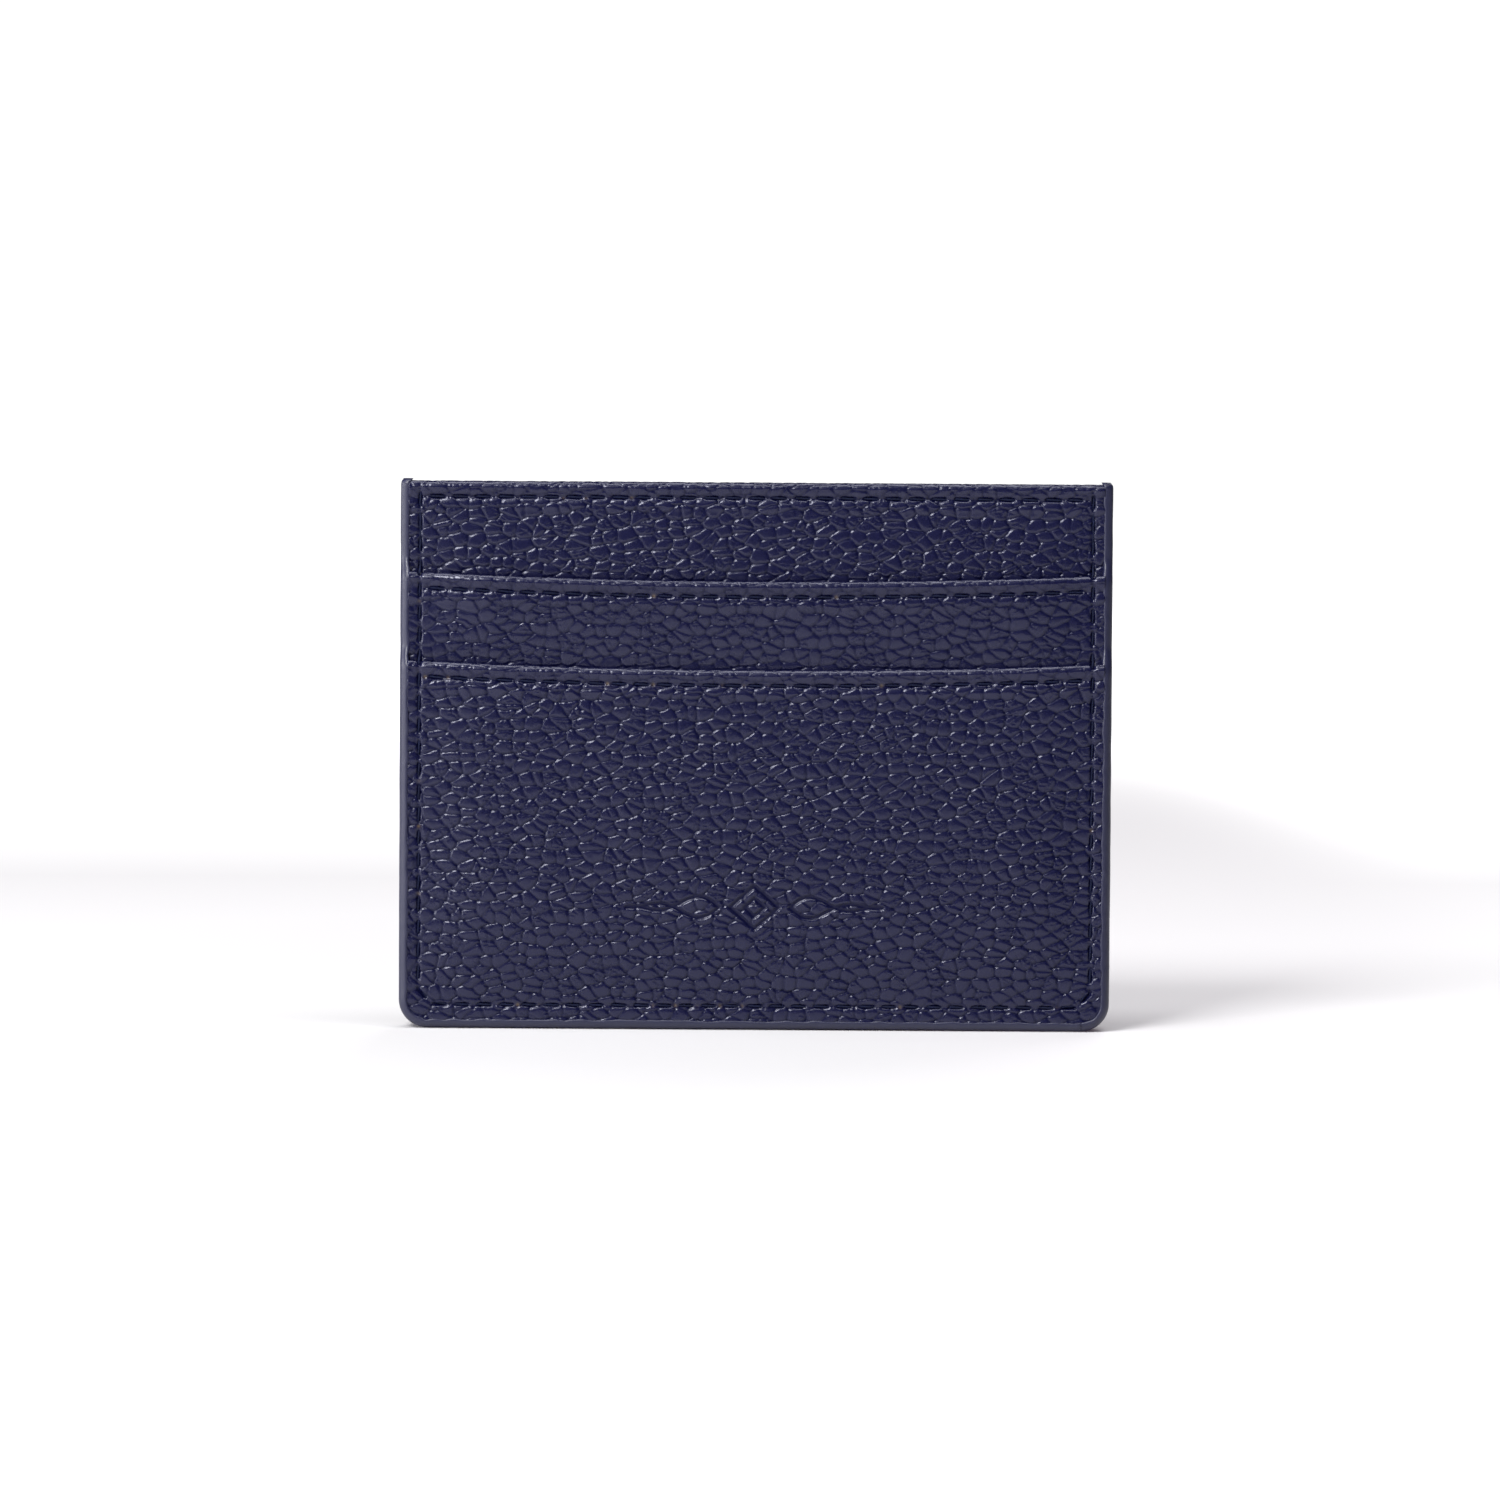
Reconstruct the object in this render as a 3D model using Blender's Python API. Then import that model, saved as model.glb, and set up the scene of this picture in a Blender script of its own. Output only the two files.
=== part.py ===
"""Slim card holder in grained synthetic leather, built ply by ply.

The holder stands upright on its bottom edge. +Z is up, X runs across its width,
and the front faces -Y. The origin is at the middle of the bottom edge. Each side
has a body panel with a turned hem along its top and two pockets stepped down its
face; between the two body panels is the centre pocket, which opens at the top.
All lengths are in metres.
"""

import math

import bmesh
import bpy

# --- Overall size -------------------------------------------------------------
WIDTH = 0.1000
HEIGHT = 0.0772
CORNER_RADIUS = 0.0040

# --- Pocket mouths ------------------------------------------------------------
TOP_SETBACK = 0.0003  # the painted edge stands this far above the top hem
TOP_TO_UPPER_MOUTH = 0.0127
UPPER_TO_LOWER_MOUTH = 0.0124
MOUTH_SAG = 0.0011  # how far a mouth dips between its two ends
UPPER_POCKET_DEPTH = 0.0220  # the leather strip of the upper pocket
UPPER_SLOT_FLOOR = 0.0160  # height of the seam that a card in the upper slot stands on
CLOTH_BELOW_SEAM = 0.0015

# --- Plies, counted outwards from the middle of the centre pocket -------------
LEATHER = 0.00065
TURN_IN = 0.00025  # the skived leather folded back behind a mouth
TURN_IN_DEPTH = 0.0080
LINING = 0.00015
CENTRE_GAP = 0.0004
SLOT_GAP = 0.0003
BOND_GAP = 0.0001  # between two plies that are glued together
LINING_SETBACK = 0.0003  # from the turned leather down to the lining's edge
HEM_ROUNDING = 0.0002

# --- Painted edge -------------------------------------------------------------
EDGE_DEPTH = 0.0012
EDGE_GAP = 0.0003  # between the painted edge and the plies that it seals
EDGE_SHOULDER = 0.0014
EDGE_STEP = 0.0004  # height over which the edge steps from one ply to the next
MOST_SHOULDER = 0.8  # a shoulder takes at most this part of half the thickness
SHOULDER_POINTS = 4
CORNER_STEPS = 5

# --- Threads ------------------------------------------------------------------
THREAD_RADIUS = 0.00015
THREAD_GAP = 0.0001  # between a thread and the leather that it lies on
SIDE_SEAM_INSET = 0.0028
BOTTOM_SEAM_INSET = 0.0034
SEAM_CORNER_CUT = 0.0020
SEAM_TOP_SETBACK = 0.0010
HEM_SEAM_DROP = 0.0022
HEM_SEAM_END_GAP = 0.0007  # between the end of a hem seam and the side seam
MOUTH_CLEARANCE = 0.0004  # the side seam's thread passes this far above a mouth

SPAN_STEPS = 6

# --- Sizes that follow --------------------------------------------------------
PLY_INSET = EDGE_DEPTH + EDGE_GAP
PLY_HALF_WIDTH = WIDTH / 2 - PLY_INSET
PLY_CORNER_RADIUS = CORNER_RADIUS - PLY_INSET
PANEL_TOP = HEIGHT - TOP_SETBACK
UPPER_MOUTH = PANEL_TOP - TOP_TO_UPPER_MOUTH
LOWER_MOUTH = UPPER_MOUTH - UPPER_TO_LOWER_MOUTH
PLY_GROUP = TURN_IN + LEATHER
BODY_INNER = CENTRE_GAP / 2
BODY_OUTER = BODY_INNER + PLY_GROUP
UPPER_INNER = BODY_OUTER + SLOT_GAP
UPPER_OUTER = UPPER_INNER + PLY_GROUP
LOWER_INNER = UPPER_OUTER + SLOT_GAP
LOWER_OUTER = LOWER_INNER + PLY_GROUP

# Colour, roughness and metallic value of each kind of material.
FINISHES = {
    "leather": ((0.028, 0.029, 0.066, 1.0), 0.42, 0.0),
    "lining": ((0.016, 0.018, 0.045, 1.0), 0.85, 0.0),
    "edge_paint": ((0.045, 0.050, 0.110, 1.0), 0.35, 0.0),
    "thread": ((0.010, 0.014, 0.045, 1.0), 0.55, 0.0),
}

SIDES = {"front": -1, "back": 1}


def clear_scene():
    """Remove every object, so that the file holds this model only."""
    for obj in list(bpy.data.objects):
        bpy.data.objects.remove(obj, do_unlink=True)


def finish(name, kind):
    """A Principled material of one of the kinds in FINISHES, for one piece."""
    colour, roughness, metallic = FINISHES[kind]
    material = bpy.data.materials.new(f"{name}_{kind}")
    material.use_nodes = True
    shader = material.node_tree.nodes["Principled BSDF"]
    shader.inputs["Base Color"].default_value = colour
    shader.inputs["Roughness"].default_value = roughness
    shader.inputs["Metallic"].default_value = metallic
    return material


def place(name, data, kind, parent):
    """Put a mesh or a curve in the scene as one named piece of the holder."""
    obj = bpy.data.objects.new(name, data)
    data.materials.append(finish(name, kind))
    bpy.context.collection.objects.link(obj)
    obj.parent = parent
    return obj


def loft(name, rings, kind, parent):
    """A closed solid through rings of points that all hold the same number."""
    shape = bmesh.new()
    rows = [[shape.verts.new(point) for point in ring] for ring in rings]
    count = len(rows[0])
    for here, there in zip(rows, rows[1:]):
        for k in range(count):
            after = (k + 1) % count
            shape.faces.new((here[k], here[after], there[after], there[k]))
    shape.faces.new(rows[0])
    shape.faces.new(rows[-1])
    bmesh.ops.recalc_face_normals(shape, faces=shape.faces)
    mesh = bpy.data.meshes.new(name)
    shape.to_mesh(mesh)
    shape.free()
    return place(name, mesh, kind, parent)


def tube(name, points, parent):
    """A thread: a round tube along straight runs between the points."""
    curve = bpy.data.curves.new(name, "CURVE")
    curve.dimensions = "3D"
    curve.bevel_depth = THREAD_RADIUS
    curve.bevel_resolution = 1
    curve.use_fill_caps = True
    spline = curve.splines.new("POLY")
    spline.points.add(len(points) - 1)
    for target, point in zip(spline.points, points):
        target.co = (*point, 1.0)
    return place(name, curve, "thread", parent)


def sag(x):
    """How far a mouth dips at x: nothing at its ends and most in its middle."""
    return MOUTH_SAG * (1 - (x / PLY_HALF_WIDTH) ** 2)


def stations(corner_radius):
    """Places across a ply as (x, lift of its bottom edge), with round corners."""
    left = []
    for k in range(CORNER_STEPS + 1):
        angle = math.pi / 2 * k / CORNER_STEPS
        x = -PLY_HALF_WIDTH + corner_radius * (1 - math.cos(angle))
        left.append((x, corner_radius * (1 - math.sin(angle))))
    first = left[-1][0]
    middle = [
        (first - 2 * first * k / SPAN_STEPS, 0.0) for k in range(1, SPAN_STEPS)
    ]
    return left + middle + [(-x, lift) for x, lift in reversed(left)]


def straight_stations():
    """Places across a ply whose bottom edge is straight, as (x, 0)."""
    step = 2 * PLY_HALF_WIDTH / SPAN_STEPS
    return [(-PLY_HALF_WIDTH + step * k, 0.0) for k in range(SPAN_STEPS + 1)]


def hem_profile(inner, bottom, mouth):
    """Section of a leather ply whose top is turned back behind it, as (y, z)."""
    outer = inner + PLY_GROUP
    leather = inner + TURN_IN
    return [
        (leather, bottom),
        (outer, bottom),
        (outer, mouth - HEM_ROUNDING),
        (outer - HEM_ROUNDING, mouth),
        (inner + HEM_ROUNDING, mouth),
        (inner, mouth - HEM_ROUNDING),
        (inner, mouth - TURN_IN_DEPTH),
        (leather, mouth - TURN_IN_DEPTH),
    ]


def flat_profile(inner, thickness, bottom, top):
    """Section of a plain ply, as (y, z)."""
    outer = inner + thickness
    return [(inner, bottom), (outer, bottom), (outer, top), (inner, top)]


def leather_ply(name, side, inner, bottom, mouth, dip, across, parent):
    """A leather ply with a turned hem, whose mouth dips by dip times the sag."""
    rings = []
    for x, lift in across:
        profile = hem_profile(inner, bottom + lift, mouth - dip * sag(x))
        rings.append([(x, side * y, z) for y, z in profile])
    return loft(name, rings, "leather", parent)


def lining_ply(name, side, inner, bottom, mouth, dip, across, parent):
    """The cloth glued behind a leather ply, from under its turned hem down."""
    rings = []
    for x, lift in across:
        top = mouth - dip * sag(x) - TURN_IN_DEPTH - LINING_SETBACK
        profile = flat_profile(inner, LINING, bottom + lift, top)
        rings.append([(x, side * y, z) for y, z in profile])
    return loft(name, rings, "lining", parent)


def face_of_thread(outer):
    """Distance from the mid plane to a thread that lies on a face."""
    return outer + THREAD_GAP + THREAD_RADIUS


def hem_thread(name, side, outer, mouth, dip, parent):
    """The row of stitches that holds a turned hem down."""
    end = WIDTH / 2 - SIDE_SEAM_INSET - THREAD_RADIUS - HEM_SEAM_END_GAP
    points = []
    for k in range(SPAN_STEPS + 1):
        x = -end + 2 * end * k / SPAN_STEPS
        z = mouth - dip * sag(x) - HEM_SEAM_DROP
        points.append((x, side * face_of_thread(outer), z))
    return tube(name, points, parent)


def slot_seam_thread(name, side, parent):
    """The hidden seam that closes the upper slot, on the pocket cloth's face."""
    end = WIDTH / 2 - SIDE_SEAM_INSET - THREAD_RADIUS - HEM_SEAM_END_GAP
    y = side * face_of_thread(UPPER_INNER + LINING)
    points = [(-end, y, UPPER_SLOT_FLOOR), (end, y, UPPER_SLOT_FLOOR)]
    return tube(name, points, parent)


def edge_seam_thread(name, side, parent):
    """The seam round the sides and bottom, stepping over both pocket mouths."""
    x = WIDTH / 2 - SIDE_SEAM_INSET
    over = THREAD_RADIUS + MOUTH_CLEARANCE
    body, upper, lower = (
        face_of_thread(outer) for outer in (BODY_OUTER, UPPER_OUTER, LOWER_OUTER)
    )
    down = [(body, PANEL_TOP - SEAM_TOP_SETBACK)]
    for near, far, mouth in ((body, upper, UPPER_MOUTH), (upper, lower, LOWER_MOUTH)):
        edge = mouth - sag(x)
        down += [(near, edge + over), (far, edge + over)]
    down.append((lower, BOTTOM_SEAM_INSET + SEAM_CORNER_CUT))
    left = [(-x, side * y, z) for y, z in down]
    left.append((SEAM_CORNER_CUT - x, side * lower, BOTTOM_SEAM_INSET))
    right = [(-px, y, z) for px, y, z in reversed(left)]
    return tube(name, left + right, parent)


def edge_profile(half):
    """Section of the painted edge as (outward, y), for a stack this thick."""
    shoulder = min(EDGE_SHOULDER, MOST_SHOULDER * half)
    rim = []
    for k in range(SHOULDER_POINTS + 1):
        angle = math.pi / 2 * k / SHOULDER_POINTS
        outward = EDGE_DEPTH * (math.sin(angle) - 1)
        rim.append((outward, half - shoulder * (1 - math.cos(angle))))
    return rim + [(outward, -y) for outward, y in reversed(rim)]


def side_edge(name, sign, parent):
    """The painted edge up one side, thinner above each pocket mouth."""
    levels = [
        (CORNER_RADIUS + EDGE_GAP, LOWER_OUTER),
        (LOWER_MOUTH, LOWER_OUTER),
        (LOWER_MOUTH + EDGE_STEP, UPPER_OUTER),
        (UPPER_MOUTH, UPPER_OUTER),
        (UPPER_MOUTH + EDGE_STEP, BODY_OUTER),
        (HEIGHT, BODY_OUTER),
    ]
    rings = []
    for z, half in levels:
        profile = edge_profile(half)
        rings.append([(sign * (WIDTH / 2 + out), y, z) for out, y in profile])
    return loft(name, rings, "edge_paint", parent)


def bottom_edge(name, parent):
    """The painted edge under the holder, with a round corner at each end."""
    profile = edge_profile(LOWER_OUTER)
    corner = WIDTH / 2 - CORNER_RADIUS
    rings = []
    for sign in (-1, 1):
        for k in range(CORNER_STEPS + 1):
            angle = math.pi / 2 * (k if sign < 0 else CORNER_STEPS - k) / CORNER_STEPS
            ring = []
            for out, y in profile:
                reach = CORNER_RADIUS + out
                x = sign * (corner + reach * math.cos(angle))
                ring.append((x, y, CORNER_RADIUS - reach * math.sin(angle)))
            rings.append(ring)
    return loft(name, rings, "edge_paint", parent)


def body_side(label, side, parent):
    """One body panel with its lining and the stitches of its top hem."""
    across = stations(PLY_CORNER_RADIUS)
    plies = (side, BODY_INNER, PLY_INSET, PANEL_TOP, 0.0, across, parent)
    leather_ply(f"{label}_body_panel", *plies)
    lining_ply(f"{label}_body_lining", *plies)
    hem_thread(f"{label}_top_hem_thread", side, BODY_OUTER, PANEL_TOP, 0.0, parent)


def upper_pocket(label, side, parent):
    """The upper pocket: a leather strip on a cloth that hangs down to its seam."""
    across = straight_stations()
    strip_bottom = UPPER_MOUTH - UPPER_POCKET_DEPTH
    cloth_bottom = UPPER_SLOT_FLOOR - CLOTH_BELOW_SEAM
    strip = (side, UPPER_INNER, strip_bottom, UPPER_MOUTH, 1.0, across, parent)
    cloth = (side, UPPER_INNER, cloth_bottom, UPPER_MOUTH, 1.0, across, parent)
    leather_ply(f"{label}_upper_pocket", *strip)
    lining_ply(f"{label}_upper_pocket_cloth", *cloth)
    hem_thread(f"{label}_upper_hem_thread", side, UPPER_OUTER, UPPER_MOUTH, 1.0, parent)
    slot_seam_thread(f"{label}_slot_seam_thread", side, parent)


def lower_pocket(label, side, parent):
    """The lower pocket: the large outer panel with its lining and hem stitches."""
    across = stations(PLY_CORNER_RADIUS)
    plies = (side, LOWER_INNER, PLY_INSET, LOWER_MOUTH, 1.0, across, parent)
    leather_ply(f"{label}_lower_pocket", *plies)
    lining_ply(f"{label}_lower_pocket_lining", *plies)
    hem_thread(f"{label}_lower_hem_thread", side, LOWER_OUTER, LOWER_MOUTH, 1.0, parent)


def painted_edge(parent):
    """The paint that seals the cut edges, in three stretches that meet."""
    side_edge("edge_paint_left", -1, parent)
    side_edge("edge_paint_right", 1, parent)
    bottom_edge("edge_paint_bottom", parent)


def build():
    """Build the whole holder under one empty at the middle of its bottom edge."""
    clear_scene()
    holder = bpy.data.objects.new("card_holder", None)
    bpy.context.collection.objects.link(holder)
    for label, side in SIDES.items():
        body_side(label, side, holder)
        upper_pocket(label, side, holder)
        lower_pocket(label, side, holder)
        edge_seam_thread(f"{label}_edge_seam_thread", side, holder)
    painted_edge(holder)


build()
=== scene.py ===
"""Looks of a slim card holder in pebbled synthetic leather.

The holder is rebuilt ply by ply around its fixed frame. Each leather ply is one
dense shell whose pebbles, creases, turned hem and stitch dimples are real relief;
each row of stitches is twisted thread that dives through needle holes; and the
painted edge is one smooth bead round the sides and the bottom. +Z is up, X runs
across the width and the front faces -Y. Lengths are in metres.
"""

from __future__ import annotations

import logging
import math
from collections.abc import Callable
from dataclasses import dataclass, field
from enum import Enum
from functools import cached_property

import bpy
import numpy as np
from mathutils import Matrix, Vector


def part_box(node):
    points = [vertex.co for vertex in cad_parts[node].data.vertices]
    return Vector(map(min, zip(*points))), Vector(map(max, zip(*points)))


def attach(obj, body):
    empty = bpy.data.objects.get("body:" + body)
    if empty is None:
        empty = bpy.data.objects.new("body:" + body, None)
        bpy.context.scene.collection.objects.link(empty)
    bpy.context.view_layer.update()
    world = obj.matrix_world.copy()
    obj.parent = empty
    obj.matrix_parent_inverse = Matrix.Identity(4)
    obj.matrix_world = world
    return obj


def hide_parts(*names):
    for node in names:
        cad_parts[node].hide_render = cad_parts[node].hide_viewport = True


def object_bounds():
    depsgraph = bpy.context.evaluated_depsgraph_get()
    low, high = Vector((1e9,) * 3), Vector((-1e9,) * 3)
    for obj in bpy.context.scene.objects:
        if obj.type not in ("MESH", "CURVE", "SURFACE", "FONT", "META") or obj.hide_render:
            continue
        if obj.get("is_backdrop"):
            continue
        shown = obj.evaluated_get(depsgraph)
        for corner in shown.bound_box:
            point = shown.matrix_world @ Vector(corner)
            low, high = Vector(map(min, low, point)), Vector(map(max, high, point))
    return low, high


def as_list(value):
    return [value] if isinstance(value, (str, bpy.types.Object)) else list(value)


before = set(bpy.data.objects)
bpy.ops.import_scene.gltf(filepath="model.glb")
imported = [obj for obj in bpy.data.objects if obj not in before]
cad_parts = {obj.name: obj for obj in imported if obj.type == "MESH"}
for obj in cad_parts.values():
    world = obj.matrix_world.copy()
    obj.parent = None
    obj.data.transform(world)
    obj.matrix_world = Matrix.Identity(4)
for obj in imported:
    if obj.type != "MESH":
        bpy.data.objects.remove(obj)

LOG = logging.getLogger("card_holder")
MM = 0.001
ROOT = "root"

# The leather plies, from the lowest mouth up, each with its hem's row of stitches.
HEMS = {
    "lower_pocket": "lower_hem_thread",
    "upper_pocket": "upper_hem_thread",
    "body_panel": "top_hem_thread",
}

Array = np.ndarray
Colour = tuple[float, float, float, float]
Spot = tuple[float, float, float]


class Face(Enum):
    """The side of the holder that a ply is on, as the sign of its Y."""

    FRONT = -1
    BACK = 1

    def node(self, piece: str) -> str:
        """The CAD node of a piece on this side."""
        return f"{self.name.lower()}_{piece}"


class Slot(Enum):
    """The record's material slots."""

    LEATHER = "leather"
    LINING = "lining"
    EDGE_PAINT = "edge_paint"
    THREAD = "thread"


# --- Surface patterns ----------------------------------------------------------


@dataclass(frozen=True)
class SoftNoise:
    """Smooth seeded noise over a plane, from -1 to 1.

    Attributes:
        seed: Picks the pattern.
        size: Distance between its bumps.
    """

    seed: int
    size: float

    def at(self, u: Array, v: Array) -> Array:
        """The noise at points of the plane.

        Args:
            u: First coordinates.
            v: Second coordinates, of the same shape.

        Returns:
            Values from -1 to 1, of the same shape.
        """
        cells = 256
        table = np.random.default_rng(self.seed).uniform(-1, 1, (cells, cells))
        column, row = np.floor(u / self.size), np.floor(v / self.size)
        across, up = u / self.size - column, v / self.size - row
        across, up = across * across * (3 - 2 * across), up * up * (3 - 2 * up)
        i, j = column.astype(int) % cells, row.astype(int) % cells
        after, above = (i + 1) % cells, (j + 1) % cells
        low = table[i, j] * (1 - across) + table[after, j] * across
        high = table[i, above] * (1 - across) + table[after, above] * across
        return low * (1 - up) + high * up


@dataclass(frozen=True)
class Cells:
    """Uneven cells that fill a plane, each round a scattered centre.

    Attributes:
        seed: Picks the pattern.
        width: Usual width of a cell.
        height: Usual height of a cell.
        scatter: How far a centre may stray, as a share of its cell.
    """

    seed: int
    width: float
    height: float
    scatter: float = 0.95

    def borders(self, u: Array, v: Array) -> tuple[Array, Array, Array]:
        """Distances from points to what surrounds them.

        Args:
            u: Distances across the plane.
            v: Distances up the plane, of the same shape.

        Returns:
            The distances to the cell's own centre, to its nearest border and to
            the border after that, which are both 0 where three cells meet.
        """
        cells = 512
        drawn = np.random.default_rng(self.seed).uniform(-0.5, 0.5, (cells, cells, 2))
        size = math.sqrt(self.width * self.height)
        row = np.floor(v / self.height)
        column = np.floor(u / self.width + 0.5 * (row % 2))
        gaps = np.full((3, *u.shape), 1.0)
        spots = np.zeros((3, 2, *u.shape))
        for i in range(-2, 3):
            for j in range(-2, 3):
                c, r = column + i, row + j
                stray = drawn[c.astype(int) % cells, r.astype(int) % cells]
                across = c + 0.5 - 0.5 * (r % 2) + self.scatter * stray[..., 0]
                up = r + 0.5 + self.scatter * stray[..., 1]
                spot = size * np.stack([across - u / self.width, up - v / self.height])
                gap = np.hypot(*spot)
                for k in range(3):
                    nearer = gap < gaps[k]
                    gaps[k], gap = np.where(nearer, (gap, gaps[k]), (gaps[k], gap))
                    spots[k], spot = np.where(nearer, (spot, spots[k]), (spots[k], spot))
        found = [gaps[0]]
        for k in (1, 2):
            apart = np.hypot(*(spots[k] - spots[0])) + 1e-9
            found.append((gaps[k] ** 2 - gaps[0] ** 2) / (2 * apart))
        return tuple(found)


@dataclass(frozen=True)
class PebbleGrain:
    """Pressed pebble grain: flat plates between creases that deepen where they meet.

    Attributes:
        seed: Picks the pattern.
        plate: Usual width and height of a plate.
        fold: Usual width and height between the fine folds round the pits.
        crease: Depth of a crease between two plates.
        reach: Half width of a crease.
        pit: Depth of the pit where three plates meet.
        pit_reach: Distance from a meeting point over which its pit fades.
        dome: How much higher a plate's middle is than its sides.
        wrinkle: Depth of the fine folds.
        mottle: Height of the small unevenness all over the plates.
        share: Share of that relief left where the hide is pressed.
    """

    seed: int
    plate: tuple[float, float] = (2.15 * MM, 1.50 * MM)
    fold: tuple[float, float] = (1.15 * MM, 0.85 * MM)
    crease: float = 0.150 * MM
    reach: float = 0.155 * MM
    pit: float = 0.10 * MM
    pit_reach: float = 0.38 * MM
    dome: float = 0.09 * MM
    wrinkle: float = 0.072 * MM
    mottle: float = 0.007 * MM
    share: float = 1.0

    def relief(self, u: Array, v: Array) -> tuple[Array, Array]:
        """Height of the grain and how deep in a crease each point is.

        Args:
            u: Distances across the hide.
            v: Distances along the hide, of the same shape.

        Returns:
            The height in metres, nothing on a plate's shoulder and negative in
            a crease, and a mask from 0 on a plate to 1 at a crease's bottom.
        """
        bend = SoftNoise(self.seed + 1, 1.2 * MM).at(u, v)
        warp = SoftNoise(self.seed + 2, 1.0 * MM).at(u, v)
        bent = u + 0.20 * MM * bend, v + 0.15 * MM * warp
        near, border, beyond = Cells(self.seed, *self.plate).borders(*bent)
        _, fold_border, _ = Cells(self.seed + 7, *self.fold).borders(*bent)
        strength = 0.80 + 0.30 * SoftNoise(self.seed + 3, 2.4 * MM).at(u, v)
        meeting = np.exp(-beyond / self.pit_reach)
        line = np.exp(-((border / self.reach) ** 1.2))
        wide = np.exp(-((border / (1.5 * self.reach)) ** 2))
        patches = SoftNoise(self.seed + 4, 1.7 * MM).at(u, v)
        folded = smooth_step(patches + 1.3 * meeting, 0.05, 1.0)
        fold_line = np.exp(-((fold_border / (0.7 * self.reach)) ** 1.4)) * folded
        middle = (near / math.sqrt(self.plate[0] * self.plate[1])) ** 2
        height = -self.crease * strength * line * (0.90 + 0.25 * meeting)
        height -= self.pit * wide * meeting * meeting
        height -= self.dome * middle + self.wrinkle * fold_line
        height += self.mottle * SoftNoise(self.seed + 5, 0.45 * MM).at(u, v)
        mask = line * (0.45 * strength + 0.55 * meeting) + 0.35 * fold_line
        return height * self.share, np.clip(mask, 0, 1)


@dataclass(frozen=True)
class Ornament:
    """A plain pressed mark: a lozenge between two pairs of tapering curls.

    Attributes:
        centre: Its middle, as (x, z).
        lozenge: Half width and half height of the lozenge.
        curl: Length and rise of each curl.
        gap: Space between the lozenge and the curls.
        stroke: Half width of the pressed line.
        depth: Depth of the pressed line.
        lip: Height of the leather pushed up beside it.
    """

    centre: tuple[float, float]
    lozenge: tuple[float, float] = (3.4 * MM, 3.0 * MM)
    curl: tuple[float, float] = (13.0 * MM, 2.6 * MM)
    gap: float = 1.6 * MM
    stroke: float = 0.26 * MM
    depth: float = 0.26 * MM
    lip: float = 0.03 * MM

    def lines(self) -> list[list[tuple[float, float]]]:
        """The lines of the mark, each as the points that it goes through."""
        x, z = self.centre
        wide, high = self.lozenge
        outline = []
        for size in (1.0, 0.42):
            w, h = size * wide, size * high
            outline.append([(x - w, z), (x, z + h), (x + w, z), (x, z - h), (x - w, z)])
        length, rise = self.curl
        for across in (-1, 1):
            for up in (-1, 1):
                start = x + across * (wide + self.gap)
                curl = []
                for share in np.linspace(0, 1, 19):
                    swing = math.sin(2.2 * math.pi * share) * (1 - share) ** 0.8
                    lift = 0.35 * share * (1 - share) + 0.62 * swing
                    curl.append((start + across * length * share, z + up * rise * lift))
                outline.append(curl)
        return outline

    def press(self, x: Array, z: Array) -> tuple[Array, Array]:
        """Depth of the mark, and how much it flattens the grain, at points.

        Args:
            x: Distances across the holder.
            z: Heights, of the same shape.

        Returns:
            The change of height in metres, and a mask that is 1 in the line.
        """
        away = np.full(x.shape, 1.0)
        near = np.abs(z - self.centre[1]) < 5 * MM
        for line in self.lines():
            for start, end in zip(line, line[1:]):
                gap = distance_to_line(x[near], z[near], start, end)
                away[near] = np.minimum(away[near], gap)
        inside = 1 / (1 + np.exp(np.minimum(away - self.stroke, MM) / (0.05 * MM)))
        beside = np.exp(-(((away - self.stroke - 0.22 * MM) / (0.20 * MM)) ** 2))
        return self.lip * beside - self.depth * inside, inside


def distance_to_line(
    x: Array, z: Array, start: tuple[float, float], end: tuple[float, float]
) -> Array:
    """Distance from points to one straight line between two ends.

    Args:
        x: First coordinates of the points.
        z: Second coordinates of the points.
        start: One end of the line.
        end: Its other end.

    Returns:
        The distances, of the same shape as x.
    """
    run_x, run_z = end[0] - start[0], end[1] - start[1]
    length = run_x**2 + run_z**2
    share = ((x - start[0]) * run_x + (z - start[1]) * run_z) / length
    share = np.clip(share, 0, 1)
    return np.hypot(x - start[0] - share * run_x, z - start[1] - share * run_z)


def smooth_step(value: Array, low: float, high: float) -> Array:
    """0 below low and 1 above high, with a smooth rise between them."""
    share = np.clip((value - low) / (high - low), 0, 1)
    return share * share * (3 - 2 * share)


# --- Lines that the frame fixes --------------------------------------------------


@dataclass(frozen=True)
class Mouth:
    """The top edge of a leather ply, which dips between its two ends.

    Attributes:
        height: Height of its ends.
        dip: How far its middle is below its ends.
        half_width: Distance from its middle to an end.
    """

    height: float
    dip: float
    half_width: float

    @classmethod
    def of(cls, node: str) -> Mouth:
        """The mouth of a CAD leather ply, read from the ply's own corners."""
        corners = np.array([v.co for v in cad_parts[node].data.vertices])
        low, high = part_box(node)
        middle = corners[np.abs(corners[:, 0]) < 0.1 * MM, 2]
        dip = high.z - middle.max() if len(middle) else 0.0
        return cls(high.z, dip, high.x)

    def at(self, x: Array | float) -> Array | float:
        """Height of the mouth at x."""
        return self.height - self.dip * (1 - (x / self.half_width) ** 2)


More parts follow.
